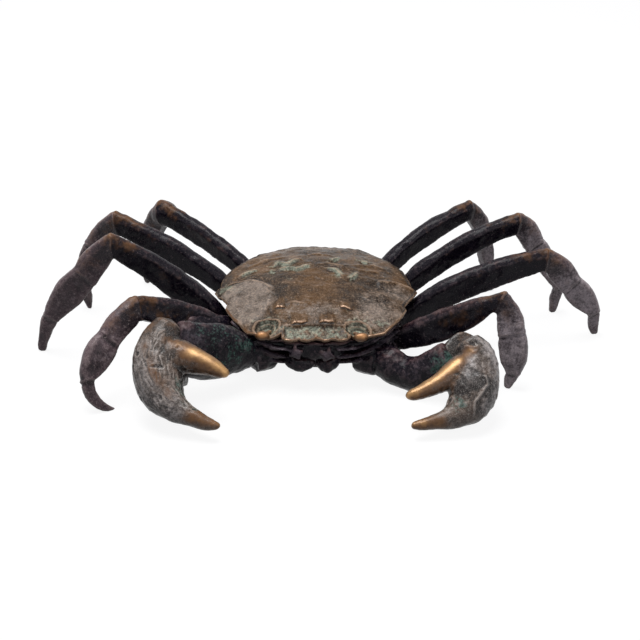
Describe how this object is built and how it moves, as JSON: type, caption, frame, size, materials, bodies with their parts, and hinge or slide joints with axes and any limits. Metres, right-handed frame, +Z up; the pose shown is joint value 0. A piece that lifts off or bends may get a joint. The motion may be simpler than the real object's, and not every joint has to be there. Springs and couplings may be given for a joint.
{
  "type": "crab figurine",
  "caption": "Life-size bronze crab on its walking legs, claws curved in front, built up from pegged castings, free-standing.",
  "frame": {"origin": "on the table under the middle of the whole figure's bounding box", "axes": "+Z up, the crab looks along -Y, and +X is to its own left, across the span of its legs"},
  "size_m": [0.1882, 0.1156, 0.0424],
  "materials": {
    "shell_bronze": "warm brown patina worn to gold on the edges, with pale verdigris",
    "dark_bronze": "nearly black patina with green verdigris in the hollows",
    "leg_bronze": "grey-brown patina, dull",
    "claw_bronze": "mottled grey-brown patina, fine fur-like casting texture",
    "worn_bronze": "handled and polished to golden bronze"
  },
  "bodies": {
    "root": {"carapace": "shell_bronze", "left_claw_arm": "dark_bronze", "left_claw_finger": "worn_bronze", "left_claw_palm": "claw_bronze", "left_claw_wrist": "claw_bronze", "left_eye": "worn_bronze", "left_leg_1_foot": "leg_bronze", "left_leg_1_knee": "leg_bronze", "left_leg_1_shin": "leg_bronze", "left_leg_1_thigh": "dark_bronze", "left_leg_2_foot": "leg_bronze", "left_leg_2_knee": "leg_bronze", "left_leg_2_shin": "leg_bronze", "left_leg_2_thigh": "dark_bronze", "left_leg_3_foot": "leg_bronze", "left_leg_3_knee": "leg_bronze", "left_leg_3_shin": "leg_bronze", "left_leg_3_thigh": "dark_bronze", "left_leg_4_foot": "leg_bronze", "left_leg_4_knee": "leg_bronze", "left_leg_4_shin": "leg_bronze", "left_leg_4_thigh": "dark_bronze", "left_mouth_plate": "dark_bronze", "right_claw_arm": "dark_bronze", "right_claw_finger": "worn_bronze", "right_claw_palm": "claw_bronze", "right_claw_wrist": "claw_bronze", "right_eye": "worn_bronze", "right_leg_1_foot": "leg_bronze", "right_leg_1_knee": "leg_bronze", "right_leg_1_shin": "leg_bronze", "right_leg_1_thigh": "dark_bronze", "right_leg_2_foot": "leg_bronze", "right_leg_2_knee": "leg_bronze", "right_leg_2_shin": "leg_bronze", "right_leg_2_thigh": "dark_bronze", "right_leg_3_foot": "leg_bronze", "right_leg_3_knee": "leg_bronze", "right_leg_3_shin": "leg_bronze", "right_leg_3_thigh": "dark_bronze", "right_leg_4_foot": "leg_bronze", "right_leg_4_knee": "leg_bronze", "right_leg_4_shin": "leg_bronze", "right_leg_4_thigh": "dark_bronze", "right_mouth_plate": "dark_bronze", "underbody": "dark_bronze"}
  },
  "joints": []
}
